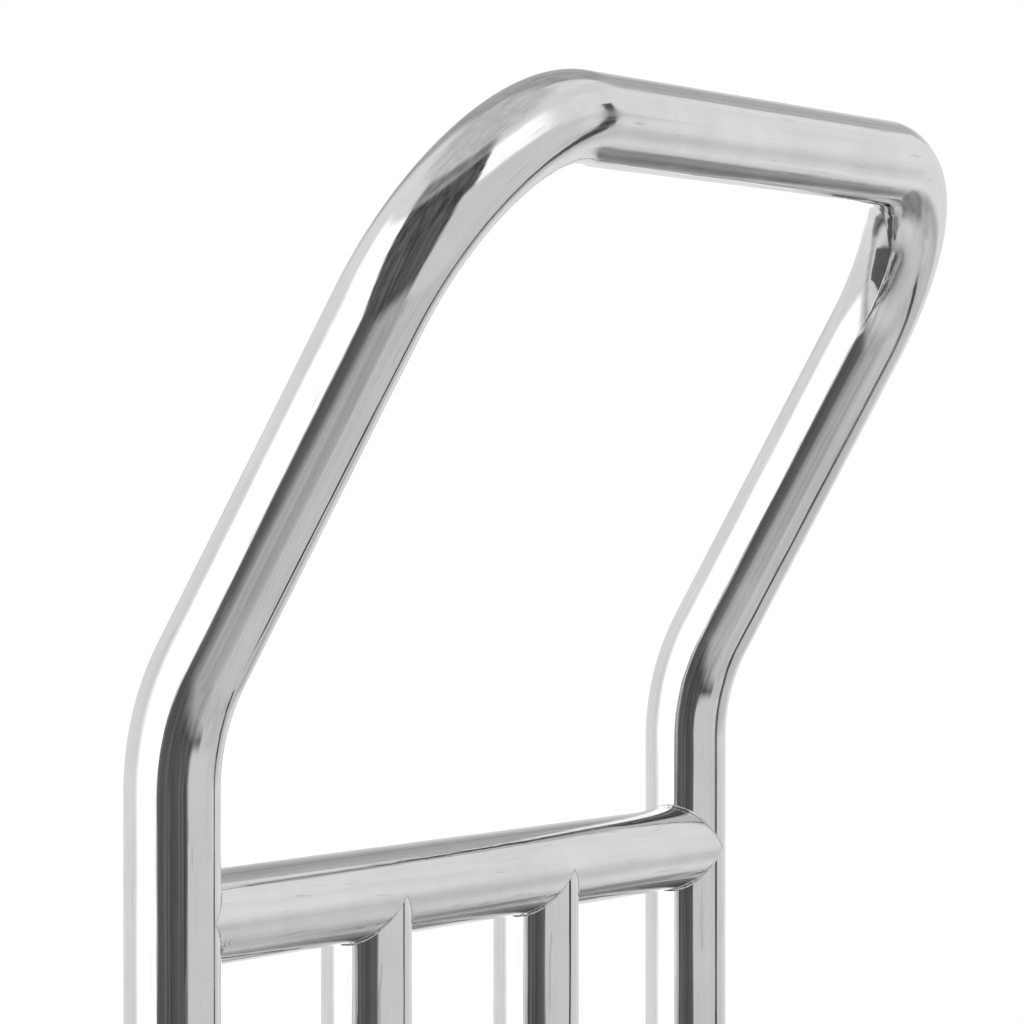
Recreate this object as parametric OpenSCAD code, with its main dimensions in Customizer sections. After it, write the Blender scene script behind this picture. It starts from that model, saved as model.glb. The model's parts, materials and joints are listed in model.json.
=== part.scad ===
// Hotel luggage cart: a bent tube handle bolted to a carpeted deck that runs on
// two fixed front wheels and two braked swivel castors under the handle.
// +X runs from the load end to the handle, +Z is up, the origin is on the floor
// under the middle of the cart's outline.

/* [Handle] */
// Outer diameter of every handle tube
tube_d = 38; // [30:1:45]
// Wall of every handle tube
tube_wall = 1.5; // [1:0.5:3]
// Spacing of the two uprights, axis to axis
handle_w = 500; // [420:10:540]
// Height of the grip's axis above the floor
handle_h = 950; // [880:10:1050]
// How far the grip leans out past the uprights
lean_out = 132; // [110:1:180]
// Height of the leaning part
lean_h = 234; // [200:1:300]
// Upper rail's axis below the grip's axis
rail_drop = 311; // [290:1:400]
// Bend radius where the uprights start to lean
lean_bend_r = 102; // [70:1:130]
// Bend radius of the two corners beside the grip
corner_bend_r = 88; // [60:1:110]
// Number of bars between the uprights
bar_count = 2; // [1:1:3]

/* [Deck] */
// Length over the steel rim
deck_l = 1000; // [850:10:1200]
// Width over the steel rim
deck_w = 600; // [580:10:700]
// Corner radius of the rim
deck_r = 60; // [45:1:80]
// Sheet thickness of the rim
rim_t = 2; // [1.5:0.5:3]
// Width of the rim's top lip
lip_w = 12; // [8:1:18]
// Width of the rim's bottom flange
flange_w = 25; // [15:1:30]
// Height and width of the deck's square beams
beam_s = 30; // [25:1:40]
// Wall of the deck's beams
beam_wall = 2; // [1.5:0.5:3]
// Width of the beam that carries the handle
handle_beam_w = 50; // [45:1:60]
// Thickness of the plywood panel
panel_t = 15; // [12:1:21]
// Thickness of the carpet
carpet_t = 5; // [4:1:8]
// Distance of the uprights from the rim's rear end
upright_inset = 75; // [65:1:90]
// Height of the rubber bumper
bumper_h = 34; // [26:1:40]
// How far the bumper stands out
bumper_t = 14; // [10:1:20]

/* [Castors] */
// Wheel diameter
wheel_d = 160; // [140:1:170]
// Tyre width
tyre_w = 38; // [32:1:40]
// Height of a castor's mounting face above the top of its wheel
castor_rise = 30; // [28:1:45]
// Trail of a swivel castor, kingpin to axle
trail = 38; // [32:1:44]
// Length of a mounting plate
plate_l = 105; // [100:1:120]
// Width of a mounting plate
plate_w = 82; // [80:1:90]
// Thickness of a mounting plate
plate_t = 4; // [3:0.5:5]
// Bolt spacing along a mounting plate
plate_hole_l = 80; // [78:1:84]
// Bolt spacing across a mounting plate
plate_hole_w = 60; // [58:1:64]
// Distance of the castors' centres from the deck's middle line
castor_y = 190; // [180:1:200]
// Distance of the front castors from the rim's front end
front_inset = 140; // [110:1:200]
// Distance of the kingpins from the rim's rear end
rear_inset = 170; // [160:1:220]
// Inner width of a fork
fork_gap = 48; // [46:1:54]
// Sheet thickness of a fork
fork_t = 3; // [2.5:0.5:4]

/* [Hidden] */
$fn = 64;
fit = 0.05;       // radial clearance of a shaft, a seat or a plug
gap = 0.3;        // clearance between parts that move past each other
weld_gap = 0.1;   // fit-up gap of a coped tube before it is welded
bend_draw = 0.1; // how much a tube's wall thins on each face in a bend
bend_lap = 2;     // how far a straight length runs into a bend

// heights, from the floor up
castor_h = wheel_d + castor_rise;
pad_t = 5;
frame_z = castor_h + pad_t;
panel_z = frame_z + beam_s;
carpet_z = panel_z + panel_t;
deck_z = carpet_z + carpet_t;
rim_z = frame_z - rim_t;
rim_h = carpet_z + rim_t - rim_z;

// places along the cart
tube_r = tube_d / 2;
bumper_reach = bumper_t + weld_gap;
grip_reach = lean_out + tube_r - upright_inset;
deck_x = (bumper_reach - max(bumper_reach, grip_reach)) / 2;
front_end = deck_x - deck_l / 2;
rear_end = deck_x + deck_l / 2;
upright_x = rear_end - upright_inset;
front_x = front_end + front_inset;
rear_x = rear_end - rear_inset;

// handle
tube_bore_r = tube_r - tube_wall;
lean_z = handle_h - lean_h;
lean_a = atan2(lean_out, lean_h);
lean_len = norm([lean_out, lean_h]);
bend_run = lean_bend_r * tan(lean_a / 2);
rail_z = handle_h - rail_drop;
bar_pitch = handle_w / (bar_count + 1);
bar_ys = [for (i = [1 : bar_count]) -handle_w / 2 + i * bar_pitch];
tube_ys = [for (i = [0 : bar_count + 1]) -handle_w / 2 + i * bar_pitch];
plug_h = 30;
handle_bolt_r = 5;
handle_bolt_len = 56;
washer_t = 2;
collar_r = 31;
collar_h = 7;

// deck
inner_l = deck_l - 2 * rim_t;
inner_w = deck_w - 2 * rim_t;
panel_gap = 1;
trim_gap = 0.5;
sill_t = 3;
sill_z = carpet_z + sill_t;
sill_from = upright_x - collar_r - 4;
bumper_nose_r = 6;
beam_y = castor_y;
screw_r = 3;
screw_head_r = 6;
screw_head_h = 3.5;
screw_len = 25;
screws_per_beam = 4;

// castors
axle_z = wheel_d / 2;
axle_r = 5;
sleeve_r = 7.45;
bearing_bore_r = sleeve_r + fit;
bearing_r = 17.5;
bearing_w = 11;
hub_len = fork_gap - 4;
hub_boss_r = 23;
rim_r = wheel_d / 2 - 18;
rim_wall = 6;
rim_w = tyre_w - 4;
web_t = 8;
web_holes = 6;
web_hole_r = 9;
tyre_edge_r = 7;
plate_bolt_r = 4;
plate_bolt_head_h = 5.3;
plate_nut_h = 6.5;
crown_t = 4;
race_h = 10;
crown_r = 36;
crown_z = castor_h - plate_t - race_h;
kingpin_r = 6;
kingpin_head_r = 10;
kingpin_head_h = 4;
kingpin_nut_h = 8;
ball_count = 12;
ball_r = race_h / 2 - 0.1;
ball_ring_r = 22.5;
leg_foot_r = 15;
leg_from = -28;
leg_to = crown_r - 2;
front_leg_half = 30;
brake_x = trail + 18;
brake_z = axle_z + wheel_d / 2 + 4;
brake_pin_r = 3;
brake_pin_head_r = 4.5;
brake_pin_head_h = 1.5;
brake_ear_r = 8;
brake_w = fork_gap - 2 * gap - 1;
brake_t = 2.5;
brake_len = 66;
brake_angle = 12;
shoe_x = 18;
shoe_t = 3;
shoe_half = 5;
spring_from = 15;
spring_t = 0.8;
spring_drop = 9.5;

steel = "lightgray";
plated = "silver";
rubber = "dimgray";

// ---- shared shapes ----

// rectangle with round corners, its arcs kept as true arcs
module rounded_rect(l, w, r) {
    square([l - 2 * r, w], center = true);
    square([l, w - 2 * r], center = true);
    for (x = [-1, 1], y = [-1, 1])
        translate([x * (l / 2 - r), y * (w / 2 - r)]) circle(r);
}

// slab that follows the deck's outline, shrunk by inset on every side
module deck_slab(inset, h) {
    linear_extrude(h)
        rounded_rect(deck_l - 2 * inset, deck_w - 2 * inset, deck_r - inset);
}

// square or flat tube along X, centred on its own length and width
module box_tube(l, w, h, wall) {
    difference() {
        translate([-l / 2, -w / 2, 0]) cube([l, w, h]);
        translate([-l / 2 - 1, -w / 2 + wall, wall])
            cube([l + 2, w - 2 * wall, h - 2 * wall]);
    }
}

module hexagon(across_flats, h) {
    cylinder(h = h, r = across_flats / sqrt(3), $fn = 6);
}

module ring(outer, inner, h) {
    difference() {
        cylinder(h = h, r = outer);
        translate([0, 0, -1]) cylinder(h = h + 2, r = inner);
    }
}

// hex bolt standing up from its head's seat at z = 0
module hex_bolt(r, across_flats, head_h, len) {
    translate([0, 0, -head_h]) hexagon(across_flats, head_h);
    cylinder(h = len, r = r);
}

module hex_nut(r, across_flats, h) {
    difference() {
        hexagon(across_flats, h);
        translate([0, 0, -1]) cylinder(h = h + 2, r = r + fit);
    }
}

// puts its children at the four bolts of a mounting plate
module at_plate_bolts() {
    for (x = [-1, 1], y = [-1, 1])
        translate([x * plate_hole_l / 2, y * plate_hole_w / 2, 0]) children();
}

// puts its children at the four castors' mounting faces
module at_castors(xs = [front_x, rear_x]) {
    for (x = xs, y = [-castor_y, castor_y])
        translate([x, y, 0]) children();
}

// ---- handle ----

// straight length of the handle's tube from z = 0, lapping lap_from and lap_to into its bends
module tube_length(h, lap_from = bend_lap, lap_to = bend_lap) {
    translate([0, 0, -lap_from]) linear_extrude(h + lap_from + lap_to) difference() {
        circle(tube_r);
        circle(tube_bore_r);
    }
}

// bend of the handle's tube in the XY plane about the origin, its wall drawn thinner
module tube_bend(bend_r, angle) {
    rotate_extrude(angle = angle) translate([bend_r, 0]) difference() {
        circle(tube_r - bend_draw);
        circle(tube_bore_r + bend_draw);
    }
}

// leaning part of the handle, flat in the YZ plane: two arms, two corners and the grip
module hoop() {
    for (side = [-1, 1]) {
        translate([0, side * handle_w / 2, bend_run])
            tube_length(lean_len - corner_bend_r - bend_run);
        translate([0, side * (handle_w / 2 - corner_bend_r), lean_len - corner_bend_r])
            rotate([90, 0, 90]) rotate([0, 0, side > 0 ? 0 : 90])
                tube_bend(corner_bend_r, 90);
    }
    translate([0, -(handle_w / 2 - corner_bend_r), lean_len])
        rotate([-90, 0, 0]) tube_length(handle_w - 2 * corner_bend_r);
}

module handle_tube() {
    $fn = 48;
    color(steel) {
        for (side = [-1, 1]) {
            translate([upright_x, side * handle_w / 2, panel_z])
                tube_length(lean_z - bend_run - panel_z, lap_from = 0);
            translate([upright_x + lean_bend_r, side * handle_w / 2, lean_z - bend_run])
                rotate([90, 0, 0]) rotate([0, 0, 180 - lean_a])
                    tube_bend(lean_bend_r, lean_a);
        }
        translate([upright_x, 0, lean_z]) rotate([0, lean_a, 0]) hoop();
    }
}

// upper rail, its ends coped to the uprights
module upper_rail() {
    color(steel) difference() {
        translate([upright_x, -handle_w / 2, rail_z]) rotate([-90, 0, 0])
            cylinder(h = handle_w, r = tube_r);
        translate([upright_x, -handle_w / 2 - 1, rail_z]) rotate([-90, 0, 0])
            cylinder(h = handle_w + 2, r = tube_bore_r);
        for (side = [-1, 1])
            translate([upright_x, side * handle_w / 2, rail_z - tube_d])
                cylinder(h = 2 * tube_d, r = tube_r + weld_gap);
    }
}

// bars from the deck up to the rail, their tops coped to the rail
module inner_bars() {
    color(steel) for (y = bar_ys) difference() {
        translate([upright_x, y, panel_z])
            ring(tube_r, tube_bore_r, rail_z - panel_z);
        translate([upright_x, y - tube_d, rail_z]) rotate([-90, 0, 0])
            cylinder(h = 2 * tube_d, r = tube_r + weld_gap);
    }
}

module tube_plugs() {
    color(plated) for (y = tube_ys)
        translate([upright_x, y, panel_z])
            ring(tube_bore_r - fit, handle_bolt_r + fit, plug_h);
}

module handle_bolts() {
    color(plated) for (y = tube_ys)
        translate([upright_x, y, frame_z - washer_t])
            hex_bolt(handle_bolt_r, 17, 6.4, handle_bolt_len);
}

module handle_washers() {
    color(plated) for (y = tube_ys)
        translate([upright_x, y, frame_z - washer_t])
            ring(10.5, handle_bolt_r + 0.25, washer_t);
}

// domed rings that hide the holes in the carpet
module tube_collars() {
    color(steel) for (y = tube_ys)
        translate([upright_x, y, sill_z])
            rotate_extrude() intersection() {
                translate([tube_r + 0.2, 0])
                    square([collar_r - tube_r - 0.2, collar_h]);
                translate([tube_r, -4]) circle(collar_r - tube_r);
            }
}

// ---- deck ----

module deck_rim() {
    color(steel) translate([deck_x, 0, rim_z]) difference() {
        deck_slab(0, rim_h);
        translate([0, 0, rim_t]) deck_slab(rim_t, rim_h - 2 * rim_t);
        translate([0, 0, rim_h - rim_t - 1]) deck_slab(lip_w, rim_t + 2);
        translate([0, 0, -1]) deck_slab(flange_w, rim_t + 2);
    }
}

beam_from = front_end + rim_t + panel_gap;
beam_to = upright_x - handle_beam_w / 2;
beam_len = beam_to - beam_from;
screw_xs = [for (i = [0 : screws_per_beam - 1])
    beam_from + beam_len * (i + 0.5) / screws_per_beam];
cross_xs = [front_x, (front_x + rear_x) / 2, rear_x];

module beam(side) {
    color(plated) difference() {
        translate([(beam_from + beam_to) / 2, side * beam_y, frame_z])
            box_tube(beam_len, beam_s, beam_s, beam_wall);
        for (x = screw_xs)
            translate([x, side * beam_y, panel_z - beam_wall - 1])
                cylinder(h = beam_wall + 2, r = screw_r + fit);
    }
}

module handle_beam() {
    color(plated) difference() {
        translate([upright_x, 0, frame_z]) rotate([0, 0, 90])
            box_tube(inner_w - 2 * panel_gap, handle_beam_w, beam_s, beam_wall);
        for (y = tube_ys)
            translate([upright_x, y, frame_z - 1])
                cylinder(h = beam_s + 2, r = handle_bolt_r + 0.25);
    }
}

module cross_beams() {
    color(plated) for (x = cross_xs)
        translate([x, 0, frame_z]) rotate([0, 0, 90])
            box_tube(2 * beam_y - beam_s, beam_s, beam_s, beam_wall);
}

// short beams between the long beams and the rim
module outriggers() {
    from = beam_y + beam_s / 2;
    to = inner_w / 2 - panel_gap;
    color(plated) for (x = cross_xs, side = [-1, 1])
        translate([x, side * (from + to) / 2, frame_z]) rotate([0, 0, 90])
            box_tube(to - from, beam_s, beam_s, beam_wall);
}

module castor_pads() {
    color(plated) at_castors() translate([0, 0, castor_h]) difference() {
        translate([-plate_l / 2 - 5, -plate_w / 2 - 4, 0])
            cube([plate_l + 10, plate_w + 8, pad_t]);
        translate([0, 0, -1]) cylinder(h = pad_t + 2, r = kingpin_head_r + 4);
        at_plate_bolts() translate([0, 0, -1])
            cylinder(h = pad_t + 2, r = plate_bolt_r + 0.5);
    }
}

module deck_panel() {
    color("burlywood") difference() {
        translate([deck_x, 0, panel_z]) deck_slab(rim_t + panel_gap, panel_t);
        for (y = tube_ys) translate([upright_x, y, panel_z - 1])
            cylinder(h = panel_t + 2, r = tube_r + 0.5);
        for (x = screw_xs, side = [-1, 1]) translate([x, side * beam_y, 0]) {
            translate([0, 0, panel_z - 1]) cylinder(h = panel_t, r = screw_r + fit);
            translate([0, 0, carpet_z - screw_head_h])
                cylinder(h = screw_head_h, r1 = screw_r + fit, r2 = screw_head_r + fit);
        }
    }
}

module deck_screws() {
    color(plated) for (x = screw_xs, side = [-1, 1])
        translate([x, side * beam_y, carpet_z]) {
            translate([0, 0, -screw_head_h])
                cylinder(h = screw_head_h, r1 = screw_r, r2 = screw_head_r);
            translate([0, 0, -screw_len])
                cylinder(h = screw_len - screw_head_h, r = screw_r);
        }
}

// carpet, laid inside the rim's lip up to the sill plate
module deck_carpet() {
    color("dimgray") difference() {
        translate([deck_x, 0, carpet_z]) deck_slab(lip_w + trim_gap, carpet_t);
        translate([sill_from - trim_gap, -deck_w / 2, carpet_z - 1])
            cube([deck_w, deck_w, carpet_t + 2]);
    }
}

// steel plate that the uprights pass through at the handle's end
module sill_plate() {
    color(steel) difference() {
        translate([deck_x, 0, carpet_z]) deck_slab(lip_w + trim_gap, sill_t);
        translate([sill_from - deck_l, -deck_w / 2, carpet_z - 1])
            cube([deck_l, deck_w, sill_t + 2]);
        for (y = tube_ys) translate([upright_x, y, carpet_z - 1])
            cylinder(h = sill_t + 2, r = tube_r + 0.5);
    }
}

// section of the bumper: flat back at x = 0, rounded nose at x = bumper_t
module bumper_section() {
    nose_r = min(bumper_nose_r, bumper_t / 2);
    translate([0, -bumper_h / 2]) square([bumper_t - nose_r, bumper_h]);
    translate([0, -bumper_h / 2 + nose_r]) square([bumper_t, bumper_h - 2 * nose_r]);
    for (side = [-1, 1])
        translate([bumper_t - nose_r, side * (bumper_h / 2 - nose_r)]) circle(nose_r);
}

module bumper() {
    straight_l = deck_l - 2 * deck_r;
    straight_w = deck_w - 2 * deck_r;
    color(rubber) translate([deck_x, 0, rim_z + rim_h / 2])
        for (turn = [0, 180]) rotate([0, 0, turn]) {
            translate([deck_l / 2, straight_w / 2, 0]) rotate([90, 0, 0])
                linear_extrude(straight_w) translate([weld_gap, 0]) bumper_section();
            translate([-straight_l / 2, deck_w / 2, 0]) rotate([90, 0, 90])
                linear_extrude(straight_l) translate([weld_gap, 0]) bumper_section();
            for (corner = [0, 90]) rotate([0, 0, corner]) {
                l = corner == 0 ? straight_l : straight_w;
                w = corner == 0 ? straight_w : straight_l;
                translate([l / 2, w / 2, 0]) rotate_extrude(angle = 90)
                    translate([deck_r + weld_gap, 0]) bumper_section();
            }
        }
}

// ---- wheels, each about the Y axis through its own middle ----

module about_axle() {
    rotate([90, 0, 0]) rotate_extrude() children();
}

module hub() {
    color("gainsboro") difference() {
        about_axle() difference() {
            union() {
                translate([0, -hub_len / 2]) square([hub_boss_r, hub_len]);
                translate([0, -web_t / 2]) square([rim_r - 1, web_t]);
                translate([rim_r - rim_wall, -rim_w / 2]) square([rim_wall, rim_w]);
            }
            translate([0, -hub_len]) square([bearing_r - 4, 2 * hub_len]);
            for (side = [0, 1]) mirror([0, side]) translate([0, hub_len / 2 - bearing_w])
                square([bearing_r + fit, bearing_w + 1]);
        }
        for (i = [0 : web_holes - 1])
            rotate([0, i * 360 / web_holes, 0])
                translate([(hub_boss_r + rim_r - rim_wall) / 2, web_t, 0])
                    rotate([90, 0, 0]) cylinder(h = 2 * web_t, r = web_hole_r);
    }
}

// two sealed bearings, each with a shallow groove for its seal
module bearings() {
    groove = 0.8;
    color("silver") about_axle() for (side = [0, 1]) mirror([0, side])
        translate([bearing_bore_r, hub_len / 2 - bearing_w]) difference() {
            square([bearing_r - bearing_bore_r, bearing_w]);
            translate([2.5, bearing_w - groove])
                square([bearing_r - bearing_bore_r - 5, groove + 1]);
        }
}

module tyre() {
    outer = wheel_d / 2;
    inner = rim_r + fit;
    color(rubber) about_axle() {
        translate([inner, -tyre_w / 2])
            square([outer - tyre_edge_r - inner, tyre_w]);
        translate([inner, -tyre_w / 2 + tyre_edge_r])
            square([outer - inner, tyre_w - 2 * tyre_edge_r]);
        for (side = [-1, 1])
            translate([outer - tyre_edge_r, side * (tyre_w / 2 - tyre_edge_r)])
                circle(tyre_edge_r);
    }
}

module sleeve() {
    color(plated) rotate([90, 0, 0]) translate([0, 0, -fork_gap / 2])
        ring(sleeve_r, axle_r + fit, fork_gap);
}

axle_seat = fork_gap / 2 + fork_t;
axle_nut_h = 9;

// axle bolt with its head outward, on the side given
module axle(side) {
    color(plated) rotate([side * 90, 0, 0]) translate([0, 0, -axle_seat])
        hex_bolt(axle_r, 16, 6.4, 2 * axle_seat + axle_nut_h + 2);
}

module axle_nut(side) {
    color(plated) rotate([side * 90, 0, 0]) translate([0, 0, axle_seat])
        hex_nut(axle_r, 16, axle_nut_h);
}

// ---- castors, each about its own mounting centre, at floor height zero ----

module plate_2d() {
    difference() {
        rounded_rect(plate_l, plate_w, 8);
        at_plate_bolts() circle(plate_bolt_r + 0.5);
    }
}

// leg of a bracket in its own XZ plane: from top_l wide down to a round foot at foot_x
module leg(top_z, top_from, top_to, foot_x) {
    drop = top_z - axle_z;
    lean_from = atan2(foot_x - leg_foot_r - top_from, drop);
    lean_to = atan2(top_to - foot_x - leg_foot_r, drop);
    rotate([90, 0, 0]) linear_extrude(fork_t) difference() {
        union() {
            translate([foot_x, axle_z]) circle(leg_foot_r);
            polygon([
                [top_from, top_z],
                [top_to, top_z],
                [foot_x + leg_foot_r * cos(lean_to), axle_z - leg_foot_r * sin(lean_to)],
                [foot_x, axle_z],
                [foot_x - leg_foot_r * cos(lean_from), axle_z - leg_foot_r * sin(lean_from)],
            ]);
            children();
        }
        translate([foot_x, axle_z]) circle(axle_r + fit);
    }
}

// puts a leg's outer face at each side of the wheel
module both_legs() {
    for (y = [-fork_gap / 2, fork_gap / 2 + fork_t]) translate([0, y, 0]) children();
}

module front_bracket() {
    seat_z = castor_h - plate_t;
    color(plated) {
        translate([0, 0, seat_z]) linear_extrude(plate_t) plate_2d();
        both_legs() leg(seat_z, -front_leg_half, front_leg_half, 0);
    }
}

module swivel_plate() {
    color(plated) difference() {
        union() {
            translate([0, 0, castor_h - plate_t]) linear_extrude(plate_t) plate_2d();
            translate([0, 0, crown_z + gap])
                cylinder(h = castor_h - plate_t - crown_z - gap, r = 15);
        }
        translate([0, 0, crown_z - 1]) cylinder(h = castor_h, r = kingpin_r + fit);
    }
}

module kingpin() {
    foot_z = crown_z - crown_t - gap - kingpin_nut_h - 2;
    color(plated) {
        translate([0, 0, castor_h]) cylinder(h = kingpin_head_h, r = kingpin_head_r);
        translate([0, 0, foot_z]) cylinder(h = castor_h - foot_z, r = kingpin_r);
    }
}

module kingpin_nut() {
    color(plated) translate([0, 0, crown_z - crown_t - gap - kingpin_nut_h])
        hex_nut(kingpin_r, 19, kingpin_nut_h);
}

module swivel_balls() {
    color(plated) for (i = [0 : ball_count - 1])
        rotate([0, 0, i * 360 / ball_count])
            translate([ball_ring_r, 0, crown_z + race_h / 2]) sphere(ball_r);
}

// swivel fork: crown with its dust skirt, two trailing legs and the brake's ears
module fork() {
    color(plated) difference() {
        union() {
            translate([0, 0, crown_z - crown_t]) cylinder(h = crown_t, r = crown_r);
            translate([leg_from, -fork_gap / 2 - fork_t, crown_z - crown_t])
                cube([leg_to - leg_from, fork_gap + 2 * fork_t, crown_t]);
            translate([0, 0, crown_z]) ring(34, 31.5, race_h - 1.5);
            both_legs() leg(crown_z, leg_from, leg_to, trail)
                difference() {
                    union() {
                        translate([brake_x, brake_z]) circle(brake_ear_r);
                        polygon([
                            [0, crown_z],
                            [brake_x, brake_z + brake_ear_r],
                            [brake_x, brake_z - brake_ear_r],
                            [trail, axle_z + 20],
                            [0, axle_z + 60],
                        ]);
                    }
                    translate([brake_x, brake_z]) circle(brake_pin_r + fit);
                }
        }
        translate([0, 0, crown_z - crown_t - 1]) cylinder(h = race_h + crown_t, r = kingpin_r + fit);
        translate([0, 0, crown_z]) cylinder(h = race_h, r = 31.5);
    }
}

// rivet through both legs, with a head on each side
module brake_pin() {
    len = fork_gap + 2 * fork_t;
    color(plated) translate([brake_x, len / 2, brake_z]) rotate([90, 0, 0]) {
        cylinder(h = len, r = brake_pin_r);
        for (z = [-brake_pin_head_h, len])
            translate([0, 0, z]) cylinder(h = brake_pin_head_h, r = brake_pin_head_r);
    }
}

// leaf under the crown whose tip bears on the pedal's round cheeks
module brake_spring() {
    under = crown_z - crown_t;
    tip_x = brake_x - brake_ear_r - gap;
    color(plated) {
        translate([spring_from, -brake_w / 2, under - spring_t])
            cube([tip_x - spring_from, brake_w, spring_t]);
        translate([tip_x - spring_t, -brake_w / 2, under - spring_drop])
            cube([spring_t, brake_w, spring_drop]);
        translate([(spring_from + crown_r) / 2, 0, under - 2 * spring_t])
            cylinder(h = spring_t, r = 4);
    }
}

// shoe in the pedal's own plane: an arc that meets the tyre once the pedal is down
module shoe_2d() {
    from_axle = asin((brake_x - trail + shoe_x) / (wheel_d / 2));
    reach = wheel_d;
    rotate(brake_angle) translate([trail - brake_x, axle_z - brake_z])
        intersection() {
            difference() {
                circle(wheel_d / 2 + gap + shoe_t);
                circle(wheel_d / 2 + gap);
            }
            polygon([[0, 0], for (a = [from_axle - shoe_half, from_axle + shoe_half])
                reach * [sin(a), cos(a)]]);
        }
}

// pedal: two cheeks on the pin, a shoe over the tyre and a ribbed tread
module brake_pedal() {
    top = brake_ear_r;
    color(plated) translate([brake_x, 0, brake_z]) {
        difference() {
            for (y = [brake_t - brake_w / 2, brake_w / 2])
                translate([0, y, 0]) rotate([90, 0, 0]) linear_extrude(brake_t) {
                    circle(brake_ear_r);
                    polygon([[0, top], [shoe_x + 16, top], [shoe_x + 9, -4],
                        [shoe_x - 4, 1 - top], [0, -top]]);
                }
            rotate([90, 0, 0]) translate([0, 0, -brake_w])
                cylinder(h = 2 * brake_w, r = brake_pin_r + fit);
        }
        translate([0, brake_w / 2, 0]) rotate([90, 0, 0])
            linear_extrude(brake_w) shoe_2d();
        translate([0, -brake_w / 2, top - brake_t]) cube([brake_len, brake_w, brake_t]);
        for (i = [0 : 4])
            translate([brake_len - 4 - i * 6, -brake_w / 2, top]) cube([3, brake_w, 1.5]);
    }
}

module castor_bolts() {
    color(plated) at_castors() translate([0, 0, castor_h - plate_t]) at_plate_bolts()
        hex_bolt(plate_bolt_r, 13, plate_bolt_head_h, plate_t + pad_t + plate_nut_h + 2);
}

module castor_nuts() {
    color(plated) at_castors() translate([0, 0, frame_z]) at_plate_bolts()
        hex_nut(plate_bolt_r, 13, plate_nut_h);
}

// ---- places of the four wheels ----

module at_rear(side) { translate([rear_x, side * castor_y, 0]) children(); }
module at_rear_axle(side) { at_rear(side) translate([trail, 0, axle_z]) children(); }
module at_front(side) { translate([front_x, side * castor_y, 0]) children(); }
module at_front_axle(side) { at_front(side) translate([0, 0, axle_z]) children(); }

handle_tube();
upper_rail();
inner_bars();
tube_plugs();
handle_bolts();
handle_washers();
tube_collars();
deck_rim();
beam(1);  // beam_left
beam(-1);  // beam_right
handle_beam();
cross_beams();
outriggers();
castor_pads();
deck_panel();
deck_screws();
deck_carpet();
sill_plate();
bumper();
for (s = [["rear_left", 1], ["rear_right", -1]]) {
    at_rear(s[1]) swivel_plate();
    at_rear(s[1]) swivel_balls();
    at_rear(s[1]) kingpin();
    at_rear(s[1]) kingpin_nut();
    at_rear(s[1]) fork();
    at_rear_axle(s[1]) axle(-s[1]);
    at_rear_axle(s[1]) axle_nut(-s[1]);
    at_rear_axle(s[1]) sleeve();
    at_rear(s[1]) brake_pin();
    at_rear(s[1]) brake_spring();
    at_rear(s[1]) brake_pedal();
    at_rear_axle(s[1]) hub();
    at_rear_axle(s[1]) bearings();
    at_rear_axle(s[1]) tyre();
}
for (s = [["front_left", 1], ["front_right", -1]]) {
    at_front(s[1]) front_bracket();
    at_front_axle(s[1]) hub();
    at_front_axle(s[1]) bearings();
    at_front_axle(s[1]) tyre();
}
for (side = [-1, 1]) at_front_axle(side) axle(-side);  // front_axles
for (side = [-1, 1]) at_front_axle(side) axle_nut(-side);  // front_axle_nuts
for (side = [-1, 1]) at_front_axle(side) sleeve();  // front_sleeves
castor_bolts();
castor_nuts();
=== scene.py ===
import json
import math
import random

import bmesh
import bpy
from mathutils import Matrix, Vector, noise


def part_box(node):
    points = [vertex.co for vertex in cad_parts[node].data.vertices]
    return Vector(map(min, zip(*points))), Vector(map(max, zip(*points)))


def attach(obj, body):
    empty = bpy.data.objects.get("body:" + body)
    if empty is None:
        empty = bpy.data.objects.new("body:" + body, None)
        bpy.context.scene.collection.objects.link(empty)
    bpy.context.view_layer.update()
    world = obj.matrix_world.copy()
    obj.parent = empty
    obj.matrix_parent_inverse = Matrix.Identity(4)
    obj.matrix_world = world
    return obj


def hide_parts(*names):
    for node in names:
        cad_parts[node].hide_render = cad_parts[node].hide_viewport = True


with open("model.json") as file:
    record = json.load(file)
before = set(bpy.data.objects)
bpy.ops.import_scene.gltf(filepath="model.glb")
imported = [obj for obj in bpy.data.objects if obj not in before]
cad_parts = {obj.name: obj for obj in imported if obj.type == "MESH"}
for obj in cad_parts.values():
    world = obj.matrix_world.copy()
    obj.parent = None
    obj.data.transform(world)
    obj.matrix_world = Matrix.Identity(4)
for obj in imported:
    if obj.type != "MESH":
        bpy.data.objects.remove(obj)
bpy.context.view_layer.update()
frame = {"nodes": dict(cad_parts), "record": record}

xAxis, yAxis, zAxis = Vector((1, 0, 0)), Vector((0, 1, 0)), Vector((0, 0, 1))

# places that several pieces share, all from the frame;
# a box follows its part's facets, so tube sizes are rounded to a tenth of a millimetre
railLow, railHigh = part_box("upper_rail")
tubeLow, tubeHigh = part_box("handle_tube")
tubeRadius = round((railHigh.z - railLow.z) / 2, 4)
uprightX = (railLow.x + railHigh.x) / 2
railZ = round((railLow.z + railHigh.z) / 2, 4)
footZ = tubeLow.z
leanOut = round(tubeHigh.x - tubeRadius - uprightX, 4)
gripZ = round(tubeHigh.z - tubeRadius, 4)
collarLow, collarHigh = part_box("tube_collars")
halfSpan = round(((collarHigh.y - collarLow.y) - (collarHigh.x - collarLow.x)) / 2, 4)
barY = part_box("inner_bars")[1].y - tubeRadius
print("tube radius", tubeRadius, "upright", round(uprightX, 5), "rail", railZ, "lean", leanOut,
      "grip", gripZ, "span", halfSpan, "bars", round(barY, 5))


# mesh helpers

mergeGap = 1e-6


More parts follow.
